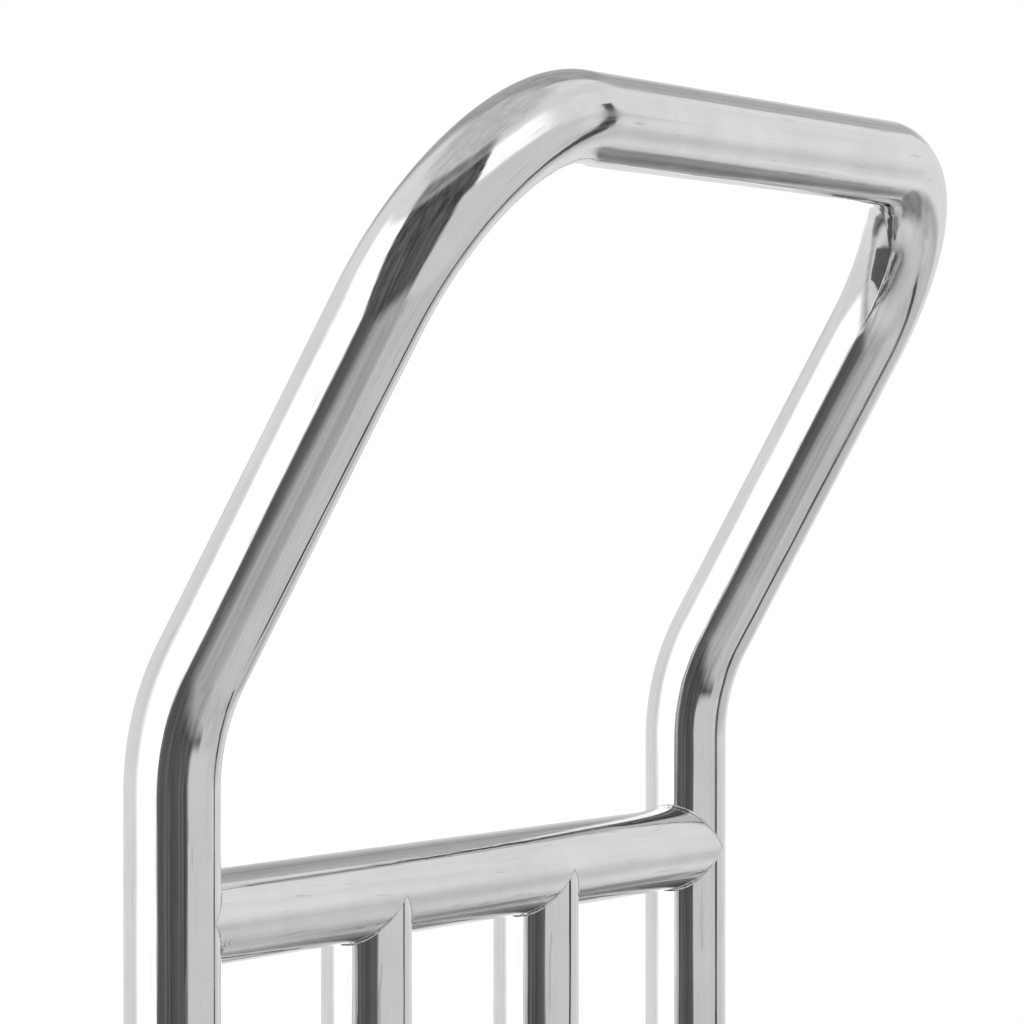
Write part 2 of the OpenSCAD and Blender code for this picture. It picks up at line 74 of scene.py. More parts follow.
def newLoop(edges, verts):
    # edges whose two ends are both new
    fresh = set(verts)
    return [e for e in edges if isinstance(e, bmesh.types.BMEdge) and fresh.issuperset(e.verts)]


def carryOn(bm, loop, step):
    # runs an open end on by one transform, and gives the new end and its corners
    made = bmesh.ops.extrude_edge_only(bm, edges=loop)["geom"]
    verts = [g for g in made if isinstance(g, bmesh.types.BMVert)]
    bmesh.ops.transform(bm, matrix=step, space=Matrix(), verts=verts)
    return newLoop(made, verts), verts


def turnAbout(centre, axis, angle):
    return Matrix.Translation(centre) @ Matrix.Rotation(angle, 4, axis) @ Matrix.Translation(-centre)


def wire(bm, points):
    # an open chain of edges through the points
    verts = [bm.verts.new(p) for p in points]
    return [bm.edges.new(pair) for pair in zip(verts, verts[1:])]


def closedWire(bm, points):
    edges = wire(bm, points)
    edges.append(bm.edges.new((edges[-1].verts[1], edges[0].verts[0])))
    return edges


def sweepRound(bm, section, low, high, nearRadius, farRadius, steps):
    # carries a section, drawn at the high x side, round a rectangle with round corners
    corners = [
        (Vector((high.x - farRadius, high.y - farRadius, 0)), farRadius),
        (Vector((low.x + nearRadius, high.y - nearRadius, 0)), nearRadius),
        (Vector((low.x + nearRadius, low.y + nearRadius, 0)), nearRadius),
        (Vector((high.x - farRadius, low.y + farRadius, 0)), farRadius),
    ]
    loop = section
    here = corners[3][0] + xAxis * farRadius
    heading = yAxis.copy()
    for centre, radius in corners:
        ahead = (centre - here).dot(heading)
        loop, _ = carryOn(bm, loop, Matrix.Translation(heading * ahead))
        for _ in range(steps):
            loop, _ = carryOn(bm, loop, turnAbout(centre, zAxis, math.pi / 2 / steps))
        here = centre + heading * radius
        heading = Vector((-heading.y, heading.x, 0))
    bmesh.ops.remove_doubles(bm, verts=bm.verts, dist=mergeGap)


def finishPiece(name, bm, material, body, replaced=(), smoothAngle=35, recalc=True, wall=0):
    if recalc:
        bmesh.ops.recalc_face_normals(bm, faces=bm.faces)
    if wall:
        bmesh.ops.solidify(bm, geom=bm.faces[:], thickness=wall)
    mesh = bpy.data.meshes.new(name)
    bm.to_mesh(mesh)
    bm.free()
    for polygon in mesh.polygons:
        polygon.use_smooth = True
    mesh.set_sharp_from_angle(angle=math.radians(smoothAngle))
    mesh.materials.append(material)
    piece = bpy.data.objects.new(name, mesh)
    bpy.context.collection.objects.link(piece)
    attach(piece, body)
    if replaced:
        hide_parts(*replaced)
    return piece


def roundEdges(piece, width, angle=30):
    bevel = piece.modifiers.new("roundEdges", "BEVEL")
    bevel.width = width
    bevel.segments = 2
    bevel.limit_method = "ANGLE"
    bevel.angle_limit = math.radians(angle)
    bevel.use_clamp_overlap = True
    bevel.harden_normals = True


# material helpers

def newMaterial(name, **settings):
    material = bpy.data.materials.new(name)
    material.use_nodes = True
    shader = material.node_tree.nodes["Principled BSDF"]
    for key, value in settings.items():
        shader.inputs[socketNames[key]].default_value = value
    return material, material.node_tree, shader


socketNames = {
    "metallic": "Metallic", "roughness": "Roughness", "specular": "Specular IOR Level",
    "sheen": "Sheen Weight", "sheenRoughness": "Sheen Roughness", "sheenTint": "Sheen Tint",
}


def addNode(tree, kind, inputs=(), **settings):
    node = tree.nodes.new(kind)
    for key, value in settings.items():
        setattr(node, key, value)
    for key, value in dict(inputs).items():
        if isinstance(value, bpy.types.NodeSocket):
            tree.links.new(value, node.inputs[key])
        else:
            node.inputs[key].default_value = value
    return node


def objectPlace(tree):
    return addNode(tree, "ShaderNodeTexCoord").outputs["Object"]


def attributePlace(tree, name):
    return addNode(tree, "ShaderNodeAttribute", attribute_name=name).outputs["Vector"]


def noiseOn(tree, place, scale, stretch=(1, 1, 1), detail=2.0, roughness=0.5):
    where = addNode(tree, "ShaderNodeMapping", {"Vector": place, "Scale": stretch}).outputs[0]
    made = addNode(tree, "ShaderNodeTexNoise", {"Vector": where, "Scale": scale, "Detail": detail,
                                                "Roughness": roughness})
    return made.outputs[0]


def spread(tree, value, low, high, fromLow=0.0, fromHigh=1.0):
    made = addNode(tree, "ShaderNodeMapRange", {"Value": value, "From Min": fromLow, "From Max": fromHigh,
                                                "To Min": low, "To Max": high})
    return made.outputs["Result"]


def easedSpread(tree, value, start, end, low=0.0, high=1.0):
    made = addNode(tree, "ShaderNodeMapRange", {"Value": value, "From Min": start, "From Max": end,
                                                "To Min": low, "To Max": high},
                   interpolation_type="SMOOTHSTEP")
    return made.outputs["Result"]


def blendColours(tree, factor, first, second):
    made = addNode(tree, "ShaderNodeMix", {0: factor, 6: first, 7: second}, data_type="RGBA")
    return made.outputs[2]


def calculate(tree, operation, *values):
    return addNode(tree, "ShaderNodeMath", dict(enumerate(values)), operation=operation).outputs[0]


def addBump(tree, shader, *layers):
    # each layer is a height, its strength and its depth in metres
    normal = None
    for height, strength, depth in layers:
        bump = addNode(tree, "ShaderNodeBump", {"Height": height, "Strength": strength, "Distance": depth})
        if normal:
            tree.links.new(normal, bump.inputs["Normal"])
        normal = bump.outputs[0]
    tree.links.new(normal, shader.inputs["Normal"])


def grey(value):
    return (value, value, value, 1)


# studio

studio = {
    "cameraPlace": (1.40543, -2.10567, 0.80681),
    "cameraTurn": (math.pi / 2 - 0.0047, 0, 0.4371),
    "lens": 192.9,
    "backdrop": 1.0,
    "floorRadius": 2.0,
    "floorFade": (0.85, 1.5),
    # floorShadeRun and floorShadeTones paint the floor darker near the cart: a painted soft shadow round it
    "floorShadeRun": (0.35, 1.1),
    "floorShadeTones": (0.68, 0.84),
    "floorPatch": 0.80,
    "keyPlace": (-0.6, -0.5, 3.2),
    "keySize": 2.2,
    "keyPower": 40,
    "wallTones": (0.79, 0.86),
}

# what stands round the cart, as seen from it: azimuths from +X, elevations and brightness, with a soft
# edge for the low and high azimuth and the low and high elevation; a slant leans its sides
surroundings = [
    {"what": "ceiling", "azimuth": (-200, 200), "elevation": (58, 100), "soft": (1, 1, 6, 1),
     "tones": (0.54, 0.70)},
    {"what": "floor beyond", "azimuth": (-200, 200), "elevation": (-100, -22), "soft": (1, 1, 1, 5),
     "tones": (0.38, 0.54)},
    {"what": "grey at the right", "azimuth": (-17, 70), "elevation": (-50, -5), "soft": (6, 8, 8, 6),
     "tones": (0.56, 0.70)},
    {"what": "dark side of the room", "azimuth": (-98, -8), "elevation": (-25, 45), "soft": (1.2, 2, 5, 4),
     "slant": 0.22, "tones": (0.045, 0.16)},
    {"what": "over the dark side", "azimuth": (-112, -18), "elevation": (45, 58), "soft": (4, 6, 4, 4),
     "tones": (0.20, 0.34)},
    {"what": "softbox high at the right", "azimuth": (-19, 22), "elevation": (15, 46), "soft": (2, 14, 9, 5),
     "tones": (1.3, 1.5)},
    {"what": "behind, high", "azimuth": (88, 150), "elevation": (16, 60), "soft": (1.5, 10, 6, 6),
     "tones": (0.34, 0.50)},
    {"what": "behind, low", "azimuth": (82, 160), "elevation": (-64, -20.5), "soft": (2, 8, 8, 1),
     "tones": (0.20, 0.34)},
    {"what": "behind, lowest", "azimuth": (112, 156), "elevation": (-60, -26), "soft": (4, 6, 6, 5),
     "tones": (0.06, 0.14)},
    {"what": "window behind", "azimuth": (100, 136), "elevation": (-8, 9), "soft": (1.5, 8, 1.5, 1.5),
     "tones": (1.3, 1.4)},
    {"what": "softbox at the left", "azimuth": (-152, -100), "elevation": (-15, 40), "soft": (8, 1.2, 5, 4),
     "slant": 0.22, "tones": (1.4, 1.6)},
]

# cards close to the handle, seen only in its tubes: the ends of the foot, from the low y, and the height
cards = [
    {"what": "stand", "ends": ((1.04, 0.56), (0.96, 0.66)), "height": (0.05, 1.25), "soft": 0.012,
     "tone": 0.07},
    {"what": "flag at the right", "ends": ((1.37, -0.73), (1.37, 0.75)), "height": (0.30, 1.22),
     "soft": 0.09, "tone": 0.70},
]


def makeWorld():
    world = bpy.data.worlds.new("studio")
    world.use_nodes = True
    bpy.context.scene.world = world
    tree = world.node_tree
    background = tree.nodes["Background"]
    outward = addNode(tree, "ShaderNodeTexCoord").outputs["Generated"]
    direction = addNode(tree, "ShaderNodeSeparateXYZ", {0: outward})
    degree = 180 / math.pi
    turned = calculate(tree, "ARCTAN2", direction.outputs[1], direction.outputs[0])
    azimuth = calculate(tree, "MULTIPLY", turned, degree)
    elevation = calculate(tree, "MULTIPLY", calculate(tree, "ARCSINE", direction.outputs[2]), degree)

    def between(value, limits, soft):
        rise = easedSpread(tree, value, limits[0] - soft[0], limits[0] + soft[0])
        fall = easedSpread(tree, value, limits[1] - soft[1], limits[1] + soft[1], 1.0, 0.0)
        return calculate(tree, "MULTIPLY", rise, fall)

    # upright streaks, so that no part of the room is quite even
    streaks = noiseOn(tree, outward, 1.0, stretch=(11, 11, 1.6), detail=4, roughness=0.6)
    streaks = spread(tree, streaks, 0, 1, 0.34, 0.66)

    def uneven(tones):
        return blendColours(tree, streaks, grey(tones[0]), grey(tones[1]))

    tone = uneven(studio["wallTones"])
    for part in surroundings:
        leaning = calculate(tree, "MULTIPLY_ADD", elevation, part.get("slant", 0.0), azimuth)
        inside = calculate(tree, "MULTIPLY", between(leaning, part["azimuth"], part["soft"][:2]),
                           between(elevation, part["elevation"], part["soft"][2:]))
        tone = blendColours(tree, inside, tone, uneven(part["tones"]))
    seen = addNode(tree, "ShaderNodeLightPath").outputs["Is Camera Ray"]
    tree.links.new(blendColours(tree, seen, tone, grey(studio["backdrop"])), background.inputs["Color"])


def makeCards():
    for card in cards:
        (x1, y1), (x2, y2) = card["ends"]
        low, high = card["height"]
        bm = bmesh.new()
        corners = ((x1, y1, low), (x2, y2, low), (x2, y2, high), (x1, y1, high))
        bm.faces.new([bm.verts.new(corner) for corner in corners])
        mesh = bpy.data.meshes.new(card["what"])
        bm.to_mesh(mesh)
        bm.free()
        piece = bpy.data.objects.new(card["what"], mesh)
        bpy.context.collection.objects.link(piece)
        material = bpy.data.materials.new(card["what"])
        material.use_nodes = True
        tree = material.node_tree
        glow = addNode(tree, "ShaderNodeEmission", {"Color": grey(card["tone"])}).outputs[0]
        clear = addNode(tree, "ShaderNodeBsdfTransparent").outputs[0]
        place = addNode(tree, "ShaderNodeSeparateXYZ", {0: objectPlace(tree)})
        soft, inside = card["soft"], 1.0
        for value, start, end in ((place.outputs[1], y1, y2), (place.outputs[2], low, high)):
            for edge, inward in ((start, soft), (end, -soft)):
                inside = calculate(tree, "MULTIPLY", easedSpread(tree, value, edge, edge + inward), inside)
        mixed = addNode(tree, "ShaderNodeMixShader", {0: inside, 1: clear, 2: glow}).outputs[0]
        tree.links.new(mixed, tree.nodes["Material Output"].inputs["Surface"])
        mesh.materials.append(material)
        piece.visible_camera = False
        piece.visible_diffuse = False
        piece.visible_shadow = False


def makeFloor():
    bm = bmesh.new()
    bmesh.ops.create_circle(bm, cap_ends=True, radius=studio["floorRadius"], segments=96)
    mesh = bpy.data.meshes.new("studioFloor")
    bm.to_mesh(mesh)
    bm.free()
    floor = bpy.data.objects.new("studioFloor", mesh)
    bpy.context.collection.objects.link(floor)
    material, tree, shader = newMaterial("studioFloor", roughness=0.55, specular=0.3)
    place = objectPlace(tree)
    fine = spread(tree, noiseOn(tree, place, 6.0, detail=4), 0.0, 0.4)
    far = addNode(tree, "ShaderNodeVectorMath", {0: place}, operation="LENGTH").outputs["Value"]
    # the floor is painted darker near the middle and paler towards its edge: a painted soft shadow round the
    # cart
    shadedMiddleTone, edgeTone = studio["floorShadeTones"]
    outer = spread(tree, far, 0, 1, *studio["floorShadeRun"])
    base = blendColours(tree, outer, grey(shadedMiddleTone), grey(edgeTone))
    tree.links.new(blendColours(tree, fine, base, grey(studio["floorPatch"])), shader.inputs["Base Color"])
    fade = easedSpread(tree, far, *studio["floorFade"])
    # open from below, so that the underside can be looked at
    under = addNode(tree, "ShaderNodeNewGeometry").outputs["Backfacing"]
    fade = calculate(tree, "MAXIMUM", fade, under)
    clear = addNode(tree, "ShaderNodeBsdfTransparent").outputs[0]
    mixed = addNode(tree, "ShaderNodeMixShader", {0: fade, 1: shader.outputs[0], 2: clear}).outputs[0]
    tree.links.new(mixed, tree.nodes["Material Output"].inputs["Surface"])
    mesh.materials.append(material)


def makeLights():
    key = bpy.data.lights.new("key", "AREA")
    key.shape = "DISK"
    key.size = studio["keySize"]
    key.energy = studio["keyPower"]
    lamp = bpy.data.objects.new("key", key)
    lamp.location = studio["keyPlace"]
    lamp.rotation_euler = (Vector((0, 0, 0.2)) - lamp.location).to_track_quat("-Z", "Y").to_euler()
    lamp.visible_glossy = False
    bpy.context.collection.objects.link(lamp)


def makeCamera():
    lens = bpy.data.cameras.new("camera")
    lens.lens = studio["lens"]
    camera = bpy.data.objects.new("camera", lens)
    camera.location = studio["cameraPlace"]
    camera.rotation_euler = studio["cameraTurn"]
    bpy.context.collection.objects.link(camera)
    bpy.context.scene.camera = camera


bpy.context.scene.view_settings.view_transform = "Standard"
makeCamera()
makeWorld()
makeFloor()
makeCards()
makeLights()
print("studio: camera, surroundings, floor, cards and key light")


# materials

polish = {
    "baseTones": (0.74, 0.83),
    "drawnTone": 0.66,
    "markTone": 0.45,
    "markShare": 0.35,
    "markRough": 0.12,
    "cloudyRough": (0.03, 0.09),
    "drawnRough": 0.16,
    "swellDepth": 0.0012,
    "lineDepth": 0.00005,
    "lineStrength": 0.3,
    "rippleDepth": 0.0007,
    "rippleShare": (0.35, 1.3),
}


def makePolishedSteel(name, along, wave):
    # mirror-polished tube: draw lines along it, cloudy wheel marks,
    # and a soft waviness that grows in the bends
    material, tree, shader = newMaterial(name, metallic=1.0)
    place = attributePlace(tree, along) if along else objectPlace(tree)
    cloudy = noiseOn(tree, place, 26.0, detail=4, roughness=0.6)
    drawn = noiseOn(tree, place, 1.0, stretch=(260, 260, 7), detail=3)
    lines = noiseOn(tree, place, 1.0, stretch=(1400, 1400, 14), detail=2)
    marks = spread(tree, noiseOn(tree, place, 1.0, stretch=(420, 420, 26), detail=2), 0.0, 1.0, 0.66, 0.72)
    darker, paler = polish["baseTones"]
    base = blendColours(tree, spread(tree, cloudy, 0, 1, 0.3, 0.7), grey(darker), grey(paler))
    base = blendColours(tree, spread(tree, drawn, 0.0, 0.5, 0.5, 0.75), base, grey(polish["drawnTone"]))
    marked = calculate(tree, "MULTIPLY", marks, polish["markShare"])
    tree.links.new(blendColours(tree, marked, base, grey(polish["markTone"])), shader.inputs["Base Color"])
    smooth, hazy = polish["cloudyRough"]
    rough = calculate(tree, "ADD", spread(tree, cloudy, smooth, hazy, 0.35, 0.75),
                      spread(tree, drawn, 0.0, polish["drawnRough"], 0.5, 0.8))
    rough = calculate(tree, "ADD", rough, calculate(tree, "MULTIPLY", marks, polish["markRough"]))
    tree.links.new(rough, shader.inputs["Roughness"])
    swell = noiseOn(tree, place, 1.0, stretch=(26, 26, 9), detail=1)
    ripple = noiseOn(tree, place, 1.0, stretch=(58, 58, 30), detail=2)
    layers = [(swell, wave, polish["swellDepth"]), (lines, polish["lineStrength"], polish["lineDepth"])]
    if along:
        bend = addNode(tree, "ShaderNodeAttribute", attribute_name="inBend").outputs["Fac"]
        depth = calculate(tree, "MULTIPLY", ripple, spread(tree, bend, *polish["rippleShare"]))
        layers.append((depth, wave, polish["rippleDepth"]))
    addBump(tree, shader, *layers)
    return material


def makeWeldSteel():
    material, tree, shader = newMaterial("weldSteel", metallic=1.0)
    place = objectPlace(tree)
    grain = noiseOn(tree, place, 420.0, detail=2)
    patch = noiseOn(tree, place, 120.0, detail=2)
    tree.links.new(blendColours(tree, patch, grey(0.66), grey(0.84)), shader.inputs["Base Color"])
    tree.links.new(spread(tree, patch, 0.12, 0.34), shader.inputs["Roughness"])
    addBump(tree, shader, (grain, 0.15, 0.0002))
    return material


def makeBrushedSteel(name, stretch):
    # satin sheet: fine grain along one direction and a few deeper scratches
    material, tree, shader = newMaterial(name, metallic=1.0)
    place = objectPlace(tree)
    grain = noiseOn(tree, place, 1.0, stretch=stretch, detail=4)
    patch = noiseOn(tree, place, 9.0, detail=3)
    tree.links.new(blendColours(tree, grain, grey(0.66), grey(0.78)), shader.inputs["Base Color"])
    rough = calculate(tree, "ADD", spread(tree, grain, 0.16, 0.34), spread(tree, patch, -0.03, 0.05))
    tree.links.new(rough, shader.inputs["Roughness"])
    addBump(tree, shader, (grain, 0.3, 0.00006))
    return material


def makeFramePaint():
    # black powder coat: fine orange peel, a little dust on what faces up
    material, tree, shader = newMaterial("framePaint", roughness=0.42, specular=0.5)
    place = objectPlace(tree)
    peel = noiseOn(tree, place, 900.0, detail=2)
    patch = noiseOn(tree, place, 24.0, detail=4)
    up = addNode(tree, "ShaderNodeSeparateXYZ",
                 {0: addNode(tree, "ShaderNodeNewGeometry").outputs["Normal"]}).outputs[2]
    dust = calculate(tree, "MULTIPLY", spread(tree, up, 0.0, 0.5, 0.6, 1.0), patch)
    base = blendColours(tree, patch, grey(0.020), grey(0.032))
    tree.links.new(blendColours(tree, dust, base, (0.16, 0.155, 0.15, 1)), shader.inputs["Base Color"])
    tree.links.new(spread(tree, patch, 0.36, 0.52), shader.inputs["Roughness"])
    addBump(tree, shader, (peel, 0.18, 0.0004))
    return material


def makeZinc():
    # bright zinc plate: bluish, with soft cloudy patches and fine press marks
    material, tree, shader = newMaterial("zincPlate", metallic=1.0)
    place = objectPlace(tree)
    cloud = noiseOn(tree, place, 60.0, detail=4, roughness=0.6)
    fine = noiseOn(tree, place, 1.0, stretch=(2200, 2200, 300), detail=2)
    tree.links.new(blendColours(tree, cloud, (0.58, 0.60, 0.63, 1), (0.76, 0.78, 0.80, 1)),
                   shader.inputs["Base Color"])
    tree.links.new(spread(tree, cloud, 0.20, 0.40, 0.3, 0.7), shader.inputs["Roughness"])
    addBump(tree, shader, (cloud, 0.12, 0.0004), (fine, 0.12, 0.00005))
    return material


def makeBearingSteel():
    material, tree, shader = newMaterial("bearingSteel", metallic=1.0)
    place = objectPlace(tree)
    haze = noiseOn(tree, place, 140.0, detail=3)
    tree.links.new(blendColours(tree, haze, grey(0.60), grey(0.70)), shader.inputs["Base Color"])
    tree.links.new(spread(tree, haze, 0.12, 0.26), shader.inputs["Roughness"])
    addBump(tree, shader, (haze, 0.1, 0.0002))
    return material


def makePlywood():
    # birch veneer with its grain along the deck, and dark glue lines in the edge
    material, tree, shader = newMaterial("plywood", specular=0.35)
    place = objectPlace(tree)
    figure = noiseOn(tree, place, 1.0, stretch=(2.2, 26, 26), detail=6, roughness=0.62)
    pores = noiseOn(tree, place, 1.0, stretch=(40, 900, 900), detail=2)
    wood = blendColours(tree, spread(tree, figure, 0, 1, 0.3, 0.7), (0.50, 0.33, 0.18, 1),
                        (0.72, 0.54, 0.33, 1))
    wood = blendColours(tree, spread(tree, pores, 0.0, 0.5, 0.55, 0.8), wood, (0.30, 0.18, 0.09, 1))
    tree.links.new(wood, shader.inputs["Base Color"])
    tree.links.new(spread(tree, figure, 0.5, 0.68), shader.inputs["Roughness"])
    addBump(tree, shader, (pores, 0.25, 0.0003), (figure, 0.1, 0.0006))
    return material


pile = {
    "shake": 0.0016,
    "endShare": 0.45,
    "fibreShare": (-0.15, 0.45),
    "brushedShare": (-0.10, 0.22),
    # the gap colour is painted shade between the yarn ends
    "gapShadeColour": (0.024, 0.024, 0.026, 1),
    "brushedDepth": 0.004,
    "tuftDepth": 0.0013,
}


def makeCarpet(name, dark, light, tuft):
    # cut pile: yarn ends with painted shade in the dark gaps between them, loose fibres, broad brushed
    # patches and a soft sheen
    material, tree, shader = newMaterial(name, roughness=0.95, specular=0.10, sheen=0.3, sheenRoughness=0.5,
                                         sheenTint=(0.75, 0.76, 0.80, 1))
    place = objectPlace(tree)
    jitter = addNode(tree, "ShaderNodeTexNoise", {"Vector": place, "Scale": tuft * 0.4, "Detail": 2.0})
    shake = (pile["shake"], pile["shake"], 0.0)
    shaken = addNode(tree, "ShaderNodeVectorMath", {0: jitter.outputs[1], 1: shake},
                     operation="MULTIPLY").outputs[0]
    shaken = addNode(tree, "ShaderNodeVectorMath", {0: place, 1: shaken}, operation="ADD").outputs[0]
    ends = addNode(tree, "ShaderNodeTexVoronoi", {"Vector": shaken, "Scale": tuft}, feature="F1")
    gap = ends.outputs["Distance"]
    own = addNode(tree, "ShaderNodeSeparateXYZ", {0: ends.outputs["Color"]}).outputs[0]
    fibre = noiseOn(tree, place, tuft * 3.2, detail=4, roughness=0.75)
    brushed = noiseOn(tree, place, 1.0, stretch=(5, 9, 1), detail=3)
    shade = calculate(tree, "ADD", calculate(tree, "MULTIPLY", own, pile["endShare"]),
                      spread(tree, fibre, *pile["fibreShare"], 0.3, 0.7))
    shade = calculate(tree, "ADD", shade, spread(tree, brushed, *pile["brushedShare"], 0.3, 0.7))
    yarn = blendColours(tree, shade, dark, light)
    # the gaps between yarn ends are painted nearly black: painted shade between the tufts
    yarn = blendColours(tree, spread(tree, gap, 0.0, 0.6, 0.30, 0.75), yarn, pile["gapShadeColour"])
    tree.links.new(yarn, shader.inputs["Base Color"])
    height = calculate(tree, "SUBTRACT", calculate(tree, "MULTIPLY", fibre, 1.4), gap)
    addBump(tree, shader, (brushed, 0.25, pile["brushedDepth"]), (height, 0.9, pile["tuftDepth"]))
    return material


def makeRubber(name, colour, dusty, roughness):
    # moulded rubber: matt skin, scuffed and chalky where it is touched
    material, tree, shader = newMaterial(name, specular=0.35)
    place = objectPlace(tree)
    skin = noiseOn(tree, place, 500.0, detail=3)
    scuff = noiseOn(tree, place, 36.0, detail=5, roughness=0.65)
    worn = spread(tree, scuff, 0.0, 0.55, 0.48, 0.78)
    tree.links.new(blendColours(tree, worn, colour, dusty), shader.inputs["Base Color"])
    low, high = roughness
    tree.links.new(spread(tree, scuff, low, high, 0.3, 0.7), shader.inputs["Roughness"])
    addBump(tree, shader, (skin, 0.2, 0.0003), (scuff, 0.12, 0.0008))
    return material


def makeWheelCore():
    # glass-filled nylon: pale grey, faint flow marks, grime in the web
    material, tree, shader = newMaterial("wheelCore", specular=0.45)
    place = objectPlace(tree)
    flow = noiseOn(tree, place, 30.0, detail=4, roughness=0.6)
    grime = noiseOn(tree, place, 70.0, detail=5, roughness=0.7)
    base = blendColours(tree, flow, (0.50, 0.51, 0.52, 1), (0.62, 0.63, 0.63, 1))
    grimy = spread(tree, grime, 0.0, 0.35, 0.55, 0.8)
    tree.links.new(blendColours(tree, grimy, base, (0.20, 0.19, 0.18, 1)), shader.inputs["Base Color"])
    tree.links.new(spread(tree, flow, 0.34, 0.52), shader.inputs["Roughness"])
    addBump(tree, shader, (grime, 0.12, 0.0004))
    return material


polishedTube = makePolishedSteel("polishedTube", "alongTube", 0.35)
polishedSteel = makePolishedSteel("polishedSteel", None, 0.15)
weldSteel = makeWeldSteel()
rimSteel = makeBrushedSteel("rimSteel", (1, 1, 1600))
sillSteel = makeBrushedSteel("sillSteel", (1500, 10, 1500))
framePaint = makeFramePaint()
zincPlate = makeZinc()
bearingSteel = makeBearingSteel()
plywood = makePlywood()
carpetPile = makeCarpet("carpetPile", (0.075, 0.075, 0.080, 1), (0.33, 0.33, 0.345, 1), 620)
carpetTape = makeCarpet("carpetTape", (0.020, 0.020, 0.022, 1), (0.09, 0.09, 0.095, 1), 900)
bumperRubber = makeRubber("bumperRubber", (0.022, 0.022, 0.023, 1), (0.085, 0.083, 0.08, 1), (0.52, 0.72))
tyreRubber = makeRubber("tyreRubber", (0.115, 0.115, 0.118, 1), (0.22, 0.215, 0.205, 1), (0.55, 0.75))
wheelCore = makeWheelCore()
print("materials:", len(bpy.data.materials))


# handle

handle = {
    "leanHeight": 0.234,
    "leanBend": 0.102,
    "cornerBend": 0.088,
    "wall": 0.0015,
    "sides": 96,
    "bendSteps": 30,
    "holdRing": 0.002,
}


def startTube(bm, foot):
    # the open circle that a tube grows from, with its own straightened place on each corner
    along = bm.verts.layers.float_vector.new("alongTube")
    bm.verts.layers.float.new("inBend")
    made = bmesh.ops.create_circle(bm, cap_ends=False, radius=tubeRadius,
                                   segments=handle["sides"])["verts"]
    for v in made:
        v[along] = v.co
    bmesh.ops.translate(bm, verts=made, vec=foot)
    return list({e for v in made for e in v.link_edges}), along


def growTube(bm, loop, along, step, length, bent=0.0):
    loop, verts = carryOn(bm, loop, step)
    inBend = bm.verts.layers.float["inBend"]
    for v in verts:
        v[along] = v[along] + zAxis * length
        v[inBend] = bent
    return loop


def growStraight(bm, loop, along, heading, length):
    # a short ring at each end keeps a bend's shading out of the straight
    hold = handle["holdRing"]
    for part in (hold, length - 2 * hold, hold):
        loop = growTube(bm, loop, along, Matrix.Translation(heading * part), part)
    return loop


def growBend(bm, loop, along, centre, axis, angle, radius):
    steps = handle["bendSteps"]
    for i in range(steps):
        bent = math.sin(math.pi * (i + 1) / steps) ** 2
        step = turnAbout(centre, axis, angle / steps)
        loop = growTube(bm, loop, along, step, radius * angle / steps, bent)
    return loop


def makeHandleTube():
    leanAngle = math.atan2(leanOut, handle["leanHeight"])
    leanLength = math.hypot(leanOut, handle["leanHeight"])
    leanZ = gripZ - handle["leanHeight"]
    lean = Vector((math.sin(leanAngle), 0, math.cos(leanAngle)))
    bendRun = handle["leanBend"] * math.tan(leanAngle / 2)
    rise = leanZ - bendRun - footZ
    arm = leanLength - handle["cornerBend"] - bendRun
    armEnd = Vector((uprightX, -halfSpan, leanZ)) + lean * (leanLength - handle["cornerBend"])
    leanCentre = Vector((uprightX + handle["leanBend"], -halfSpan, leanZ - bendRun))
    cornerCentre = armEnd + yAxis * handle["cornerBend"]
    cornerAxis = lean.cross(yAxis)
    mirrored = Matrix.Diagonal((1, -1, 1))

    bm = bmesh.new()
    loop, along = startTube(bm, Vector((uprightX, -halfSpan, footZ)))
    loop = growStraight(bm, loop, along, zAxis, rise)
    loop = growBend(bm, loop, along, leanCentre, yAxis, leanAngle, handle["leanBend"])
    loop = growStraight(bm, loop, along, lean, arm)
    loop = growBend(bm, loop, along, cornerCentre, cornerAxis, math.pi / 2, handle["cornerBend"])
    loop = growStraight(bm, loop, along, yAxis, 2 * (halfSpan - handle["cornerBend"]))
    loop = growBend(bm, loop, along, mirrored @ cornerCentre, cornerAxis, math.pi / 2, handle["cornerBend"])
    loop = growStraight(bm, loop, along, -lean, arm)
    loop = growBend(bm, loop, along, mirrored @ leanCentre, -yAxis, leanAngle, handle["leanBend"])
    growStraight(bm, loop, along, -zAxis, rise)
    finishPiece("handleTube", bm, polishedTube, "root", ["handle_tube"],
                wall=handle["wall"])


def copeDepth(across):
    # how far one tube's end reaches back round another of the same size
    return math.sqrt(max(tubeRadius ** 2 - across ** 2, 0))


def makeUpperRail():
    bm = bmesh.new()
    loop, along = startTube(bm, Vector((0, 0, 0)))
    growTube(bm, loop, along, Matrix.Translation(zAxis * 2 * halfSpan), 2 * halfSpan)
    lieDown = Matrix.Translation((uprightX, -halfSpan, railZ)) @ Matrix.Rotation(-math.pi / 2, 4, "X")
    bmesh.ops.transform(bm, matrix=lieDown, space=Matrix(), verts=bm.verts)
    for v in bm.verts:
        v.co.y -= math.copysign(copeDepth(v.co.x - uprightX), v.co.y)
    finishPiece("upperRail", bm, polishedTube, "root", ["upper_rail"],
                wall=handle["wall"])


def makeInnerBars():
    bm = bmesh.new()
    for side in (-1, 1):
        bar = bmesh.new()
        loop, along = startTube(bar, Vector((uprightX, side * barY, footZ)))
        growTube(bar, loop, along, Matrix.Translation(zAxis * (railZ - footZ)), railZ - footZ)
        for v in bar.verts:
            if v.co.z > footZ + tubeRadius:
                v.co.z -= copeDepth(v.co.x - uprightX)
        held = bpy.data.meshes.new("bar")
        bar.to_mesh(held)
        bar.free()
        bm.from_mesh(held)
        bpy.data.meshes.remove(held)
    finishPiece("innerBars", bm, polishedTube, "root", ["inner_bars"],
                wall=handle["wall"])


